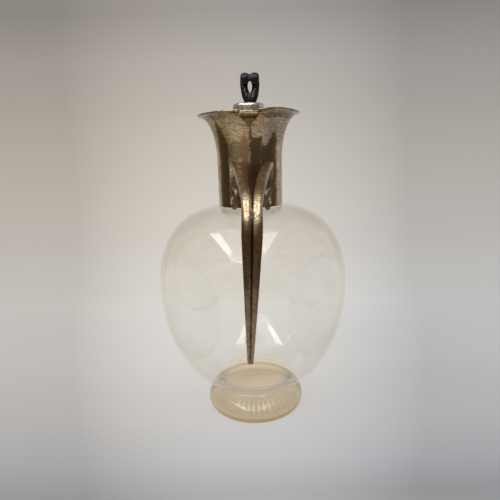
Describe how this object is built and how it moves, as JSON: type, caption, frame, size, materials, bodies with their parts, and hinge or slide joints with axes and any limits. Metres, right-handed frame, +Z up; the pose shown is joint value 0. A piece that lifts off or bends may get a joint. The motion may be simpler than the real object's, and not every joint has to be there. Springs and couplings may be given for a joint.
{
  "type": "claret jug",
  "caption": "Dimpled blown-glass claret jug on a spreading foot, with a flared plated collar, a forked scroll handle and an inset hinged lid with a looped finial.",
  "frame": {"origin": "on the table, under the middle of the foot's ground base", "axes": "+Z up along the jug's axis, -Y towards the handle and hinge, +Y the pouring side, +X to the right seen from behind the handle"},
  "size_m": [0.1618, 0.1893, 0.2899],
  "materials": {
    "clear_glass": "blown clear glass with a faint straw tint",
    "silver_plate": "tarnished and lightly pitted silver plate",
    "handle_plate": "worn silver plate with brown tarnish",
    "brass_hardware": "dull",
    "plaster": "matt plaster",
    "ebony": "ebonised and polished"
  },
  "bodies": {
    "jug": {"glass_body": "clear_glass", "glass_foot": "clear_glass", "plaster_bed": "plaster", "neck_cap_ring": "silver_plate", "collar": "silver_plate", "rim_wire": "silver_plate", "lid_seat_ring": "silver_plate", "handle_reed_left": "handle_plate", "handle_reed_right": "handle_plate", "hinge_drop": "silver_plate", "hinge_knuckles": "silver_plate", "hinge_pin": "brass_hardware"},
    "lid": {"lid_leaf": "silver_plate", "lid_cover": "silver_plate", "lid_bezel": "silver_plate", "lid_edge_wire": "silver_plate", "lid_boss": "silver_plate", "finial": "ebony", "finial_stud": "brass_hardware", "finial_washer": "brass_hardware", "finial_nut": "brass_hardware"}
  },
  "joints": [
    {"name": "lid_hinge", "type": "hinge", "parent": "jug", "child": "lid", "pos_m": [0, -0.0404, 0.25491], "axis": [1, 0, 0], "range_deg": [0, 100]}
  ]
}
